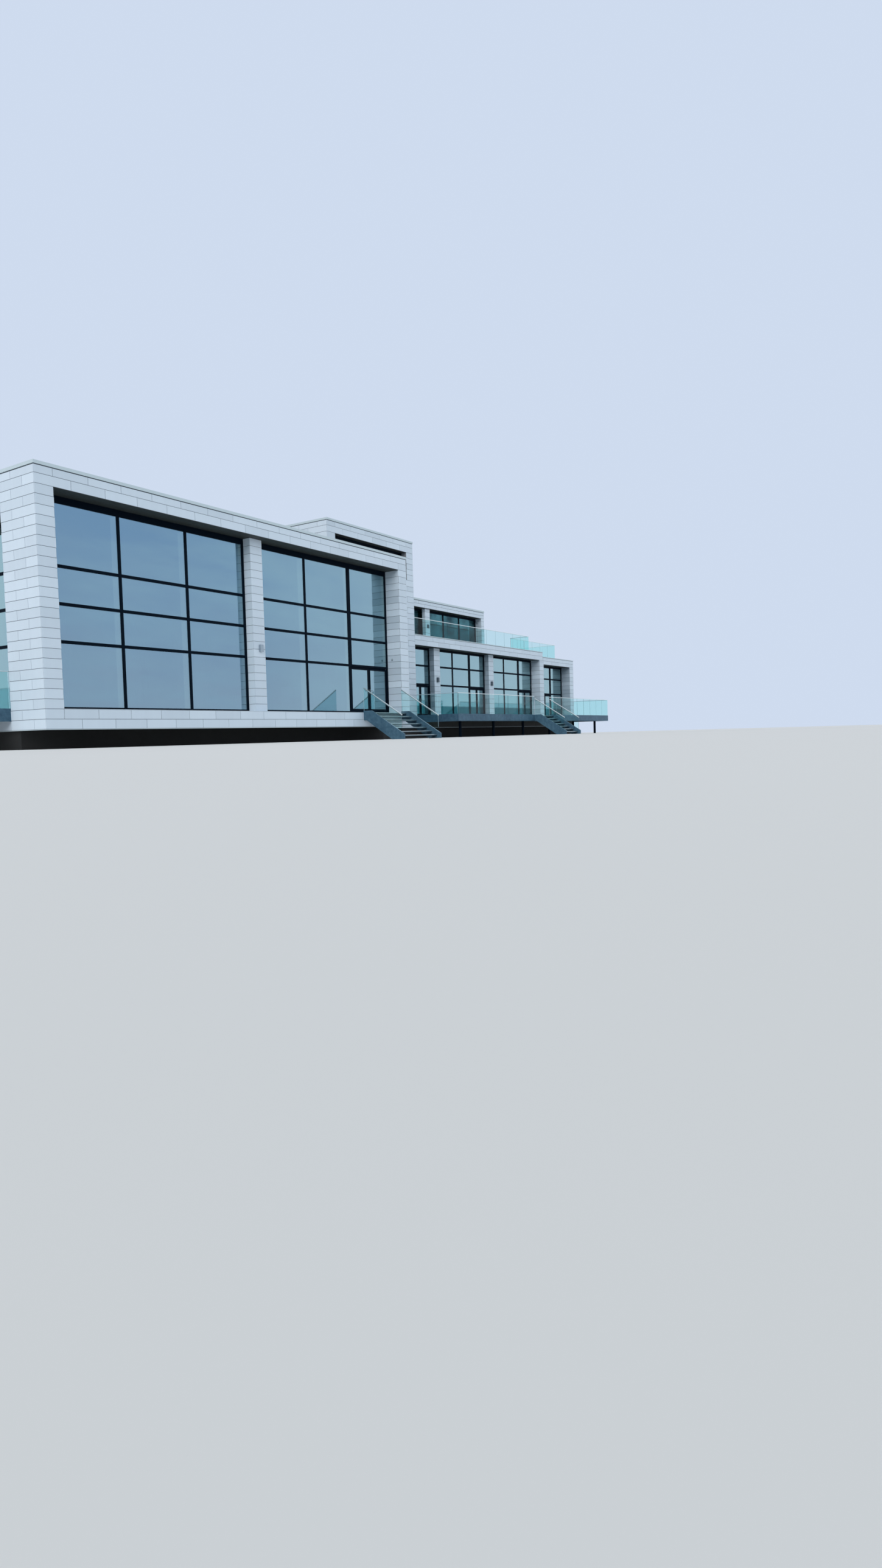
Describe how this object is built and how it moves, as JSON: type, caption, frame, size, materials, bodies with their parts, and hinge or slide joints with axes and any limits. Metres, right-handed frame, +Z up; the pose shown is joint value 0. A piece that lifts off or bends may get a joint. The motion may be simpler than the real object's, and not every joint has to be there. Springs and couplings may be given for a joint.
{
  "type": "half-scale beach house model",
  "caption": "Long white-panelled house with a tall glazed hall, a tower and a two-storey wing, glass-railed terraces, open stairs and opening glass double doors.",
  "frame": {"origin": "on the ground under the centre of the house's plan box", "axes": "+X along the sea front to the right, +Y into the house, +Z up"},
  "size_m": [24.34, 7.095, 5.43],
  "materials": {
    "wall_panels": "matt bluish white wall panels",
    "concrete": "rough cast concrete",
    "coping": "light folded metal",
    "dark_frames": "near black coated",
    "door_leaves": "near black coated frame round glass",
    "window_glass": "blue reflective glass",
    "guard_glass": "teal tinted clear glass",
    "bright_steel": "bright satin",
    "slate_steel": "slate blue satin paint",
    "deck": "grey slabs"
  },
  "bodies": {
    "house": {"foundation": "concrete", "floor_slabs": "concrete", "base_beams": "wall_panels", "hall_side_beam": "wall_panels", "hall_piers": "wall_panels", "hall_side_piers": "wall_panels", "hall_header": "wall_panels", "hall_side_header": "wall_panels", "hall_right_wall": "wall_panels", "hall_back_wall": "wall_panels", "tower_front_wall": "wall_panels", "tower_side_walls": "wall_panels", "tower_back_wall": "wall_panels", "wing_pillars": "wall_panels", "wing_parapet": "wall_panels", "wing_deck": "concrete", "end_bay_head": "wall_panels", "end_bay_wall": "wall_panels", "wing_back_wall": "wall_panels", "upper_storey_walls": "wall_panels", "roof_slabs": "concrete", "copings": "coping", "window_frames": "dark_frames", "fanlights": "dark_frames", "door_posts": "dark_frames", "window_glass": "window_glass", "door_pivots": "bright_steel", "terrace_decks": "deck", "terrace_edges": "slate_steel", "terrace_posts": "slate_steel", "stair_stringers": "slate_steel", "stair_treads": "deck", "guard_glass": "guard_glass", "handrails": "bright_steel", "wall_lamps": "dark_frames"},
    "hall_door_left": {"hall_door_left": "door_leaves"},
    "hall_door_right": {"hall_door_right": "door_leaves"},
    "first_door_left": {"first_door_left": "door_leaves"},
    "first_door_right": {"first_door_right": "door_leaves"},
    "middle_door_left": {"middle_door_left": "door_leaves"},
    "middle_door_right": {"middle_door_right": "door_leaves"},
    "far_door_left": {"far_door_left": "door_leaves"},
    "far_door_right": {"far_door_right": "door_leaves"},
    "end_door_left": {"end_door_left": "door_leaves"},
    "end_door_right": {"end_door_right": "door_leaves"}
  },
  "joints": [
    {"name": "hall_door_left_hinge", "type": "hinge", "parent": "house", "child": "hall_door_left", "pos_m": [-3.149, -2.0655, 0.6], "axis": [0, 0, 1], "range_deg": [0, 90]},
    {"name": "hall_door_right_hinge", "type": "hinge", "parent": "house", "child": "hall_door_right", "pos_m": [-1.866, -2.0655, 0.6], "axis": [0, 0, -1], "range_deg": [0, 90]},
    {"name": "first_door_left_hinge", "type": "hinge", "parent": "house", "child": "first_door_left", "pos_m": [2.101, -0.0055, 0.6], "axis": [0, 0, 1], "range_deg": [0, 90]},
    {"name": "first_door_right_hinge", "type": "hinge", "parent": "house", "child": "first_door_right", "pos_m": [2.934, -0.0055, 0.6], "axis": [0, 0, -1], "range_deg": [0, 90]},
    {"name": "middle_door_left_hinge", "type": "hinge", "parent": "house", "child": "middle_door_left", "pos_m": [5.251, -0.0055, 0.6], "axis": [0, 0, 1], "range_deg": [0, 90]},
    {"name": "middle_door_right_hinge", "type": "hinge", "parent": "house", "child": "middle_door_right", "pos_m": [6.084, -0.0055, 0.6], "axis": [0, 0, -1], "range_deg": [0, 90]},
    {"name": "far_door_left_hinge", "type": "hinge", "parent": "house", "child": "far_door_left", "pos_m": [8.46767, -0.0055, 0.6], "axis": [0, 0, 1], "range_deg": [0, 90]},
    {"name": "far_door_right_hinge", "type": "hinge", "parent": "house", "child": "far_door_right", "pos_m": [9.334, -0.0055, 0.6], "axis": [0, 0, -1], "range_deg": [0, 90]},
    {"name": "end_door_left_hinge", "type": "hinge", "parent": "house", "child": "end_door_left", "pos_m": [10.031, -0.0055, 0.6], "axis": [0, 0, 1], "range_deg": [0, 90]},
    {"name": "end_door_right_hinge", "type": "hinge", "parent": "house", "child": "end_door_right", "pos_m": [10.874, -0.0055, 0.6], "axis": [0, 0, -1], "range_deg": [0, 90]}
  ]
}
